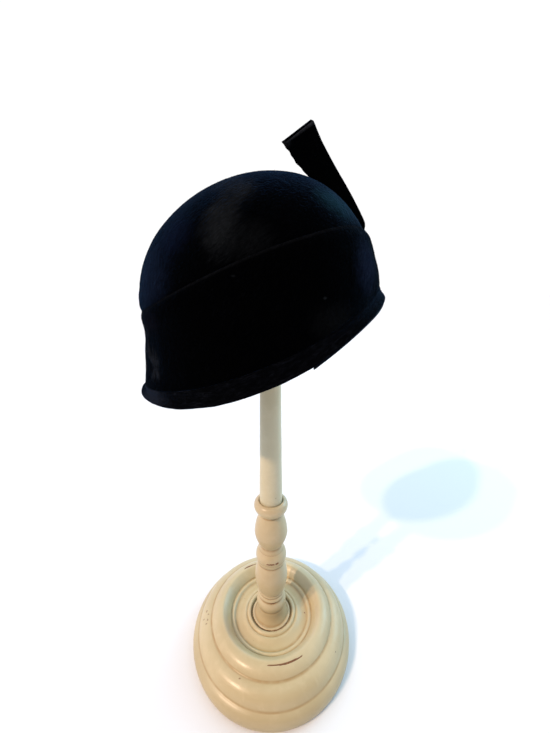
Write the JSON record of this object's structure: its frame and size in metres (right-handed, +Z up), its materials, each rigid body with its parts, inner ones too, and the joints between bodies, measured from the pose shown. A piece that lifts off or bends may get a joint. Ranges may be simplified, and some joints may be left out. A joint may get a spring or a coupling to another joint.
{
  "type": "cocktail hat on turned wooden stand",
  "caption": "Small domed fur-felt cocktail hat with a draped side wrap, a narrow flared brim and a folded tab standing at the back, on a turned and painted wooden hat stand.",
  "frame": {"origin": "centre of the stand base's flat underside", "axes": "+Z up the stand to the crown; the hat's front faces -Y and the wearer's left is +X"},
  "size_m": [0.1784, 0.2058, 0.5132],
  "materials": {
    "crown_felt": "brushed fur felt",
    "drape_felt": "brushed fur felt",
    "brim_felt": "brushed fur felt",
    "ribbon": "woven ribbon",
    "tab_felt": "brushed fur felt",
    "base_paint": "worn semi-gloss cream paint",
    "stem_paint": "worn semi-gloss cream paint",
    "dowel_paint": "semi-gloss cream paint",
    "head_paint": "semi-gloss cream paint"
  },
  "bodies": {
    "root": {"crown": "crown_felt", "side_drape": "drape_felt", "brim": "brim_felt", "edge_ribbon": "ribbon", "back_tab": "tab_felt", "stand_base": "base_paint", "stand_stem": "stem_paint", "stand_dowel": "dowel_paint", "stand_head": "head_paint"}
  },
  "joints": []
}
